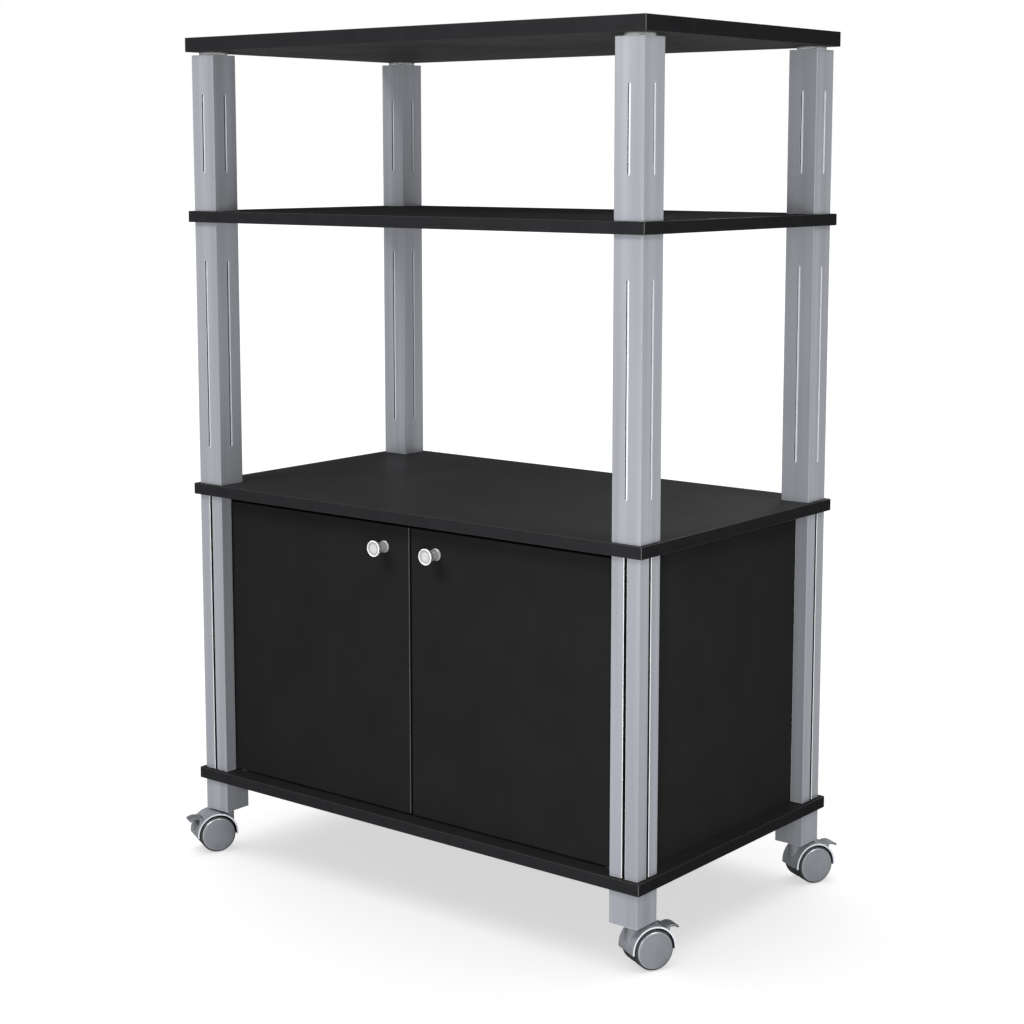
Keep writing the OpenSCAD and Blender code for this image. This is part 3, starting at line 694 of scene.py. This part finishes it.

# %% [markdown]
# A wheel is a tyre on a hub, with a round recess between them on its inner side and a cap on its outer side.
# Two fine grooves run round the tread. The cap is a low dome of its own that sits in a lip of the tyre, and
# its shoulder gets a painted highlight, where the real one catches the light.

# %% The outlines of the tyre and the cap, in mm from the axle and from the caster's middle
WHEEL_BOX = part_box("caster_wheel_front_right_right")
TYRE_R = (WHEEL_BOX[1].z - WHEEL_BOX[0].z) / MM / 2
BORE_R, HUB_R, CAP_R = 2.6, 5.4, 18.4
TYRE_IN, WEB_IN, WEB_OUT, TYRE_OUT = 4.2, 8.2, 14.4, 15.7
CAP_IN, SHOULDER_IN, SHOULDER_OUT, CAP_OUT = 14.5, 15.9, 16.8, 18.3
GROOVES, GROOVE_HALF, GROOVE_DEEP = (8.4, 11.6), 0.3, 0.25
TYRE = [(BORE_R, TYRE_IN), (HUB_R, TYRE_IN), (HUB_R, WEB_IN), (16.4, WEB_IN), (16.6, 4.8), (17.2, TYRE_IN),
        (TYRE_R - 0.8, TYRE_IN), (TYRE_R - 0.2, 4.6), (TYRE_R, 5.2)]
for groove in GROOVES:
    TYRE += [(TYRE_R, groove - GROOVE_HALF), (TYRE_R - GROOVE_DEEP, groove), (TYRE_R, groove + GROOVE_HALF)]
TYRE += [(TYRE_R, 14.4), (TYRE_R - 0.25, 15.1), (TYRE_R - 0.8, 15.55), (CAP_R + 0.1, TYRE_OUT),
         (CAP_R - 0.4, 14.9), (CAP_R - 0.6, WEB_OUT), (BORE_R, WEB_OUT)]
CAP = [(0, CAP_IN), (CAP_R - 0.7, CAP_IN), (CAP_R - 0.2, 15.0), (CAP_R, 15.5), (CAP_R - 0.1, SHOULDER_IN),
       (CAP_R - 0.5, 16.4), (CAP_R - 1.2, SHOULDER_OUT), (CAP_R - 2.4, 17.05), (CAP_R - 5, 17.45),
       (10, 17.85), (6, 18.1), (3, 18.25), (0, CAP_OUT)]
print("points:", len(TYRE), "for the tyre and", len(CAP), "for the cap")

# %% The wheels
TREAD, CAP_SKIN, CAP_SHOULDER = range(3)
WHEEL_STEPS = 96
for corner in CORNERS:
    place = axle_frame(corner)
    to_axle = place.inverted()
    for side, sign in (("left", -1), ("right", 1)):
        node = "caster_wheel_" + corner + "_" + side
        bm = bmesh.new()
        turned_shape(bm, [(r, sign * h) for r, h in TYRE], place, WHEEL_STEPS, TREAD, closed=True)
        turned_shape(bm, [(r, sign * h) for r, h in CAP], place, WHEEL_STEPS, CAP_SKIN)
        wheel = stand_in(bm, node + "_turned", [tread, cap_grey, grey_highlight], node)
        for poly in wheel.data.polygons:
            height = abs((to_axle @ poly.center).z) / MM
            if poly.material_index == CAP_SKIN and SHOULDER_IN < height < SHOULDER_OUT:
                poly.material_index = CAP_SHOULDER
print("wheels made:", 2 * len(CORNERS))

# %% [markdown]
# The hood is one plastic moulding. Its two thin end rims get a painted highlight, and its underside is
# painted dark as the shade of the wheels. A face belongs to a rim when all its corners lie on the same end of
# the drum. The small pin hole in its back is painted dark as shade too. The brake lever is a darker grey with
# a painted highlight on its edge.

# %% The hoods and levers
HOOD_RIM, HOOD_INSIDE = 2, 3
CASTER_EDGE_MM = 0.45
RIM_TOLERANCE_MM = 0.05
HOOD_WALL_MM = 1.2
PIN_HOLE_REACH_MM = 1.3
PIN_HOLE_ANGLE = math.radians(12)
PIN_HOLE = Vector((math.cos(PIN_HOLE_ANGLE), -math.sin(PIN_HOLE_ANGLE), 0))
for corner in CORNERS:
    hood = softened("caster_hood_" + corner, CASTER_EDGE_MM, [moulded, moulded])
    hood.data.materials.append(hood_rim_highlight)
    hood.data.materials.append(painted_shade_black)
    to_axle = axle_frame(corner).inverted()
    spots = [to_axle @ v.co / MM for v in hood.data.vertices]
    half = max(abs(p.z) for p in spots)
    outer = max(math.hypot(p.x, p.y) for p in spots if p.z > half - 2 * RIM_TOLERANCE_MM)
    for poly in hood.data.polygons:
        around = [spots[v] for v in poly.vertices]
        ends = {math.copysign(1, p.z) if abs(p.z) > half - RIM_TOLERANCE_MM else 0 for p in around}
        reach = max(math.hypot(p.x, p.y) for p in around)
        beside_hole = (to_axle @ poly.center / MM).cross(PIN_HOLE).length
        # Painted highlight on the rims, and painted shade inside the hood and round the pin hole.
        if ends in ({1}, {-1}):
            poly.material_index = HOOD_RIM
        elif reach < outer - HOOD_WALL_MM or beside_hole < PIN_HOLE_REACH_MM:
            poly.material_index = HOOD_INSIDE
    softened("caster_lever_" + corner, CASTER_EDGE_MM, [lever_grey, grey_highlight])
print("hoods and levers made:", 2 * len(CORNERS))

# %% [markdown]
# ## Hardware that keeps its CAD shape
# Studs, plugs, pins, axles, screws and the catch are simple and mostly hidden. Their CAD shape is right as it
# is, so they stay and only get the finish of their material slot.

# %% Finish the CAD nodes that are still shown
FINISH_OF_SLOT = {"steel": zinc, "dark_plastic": dark_plastic}
shown = [node for node in SLOT_OF if not frame["nodes"][node].hide_render]
for node in shown:
    materials = frame["nodes"][node].data.materials
    materials.clear()
    materials.append(FINISH_OF_SLOT[SLOT_OF[node]])
print("painted CAD nodes:", {node: SLOT_OF[node] for node in shown})
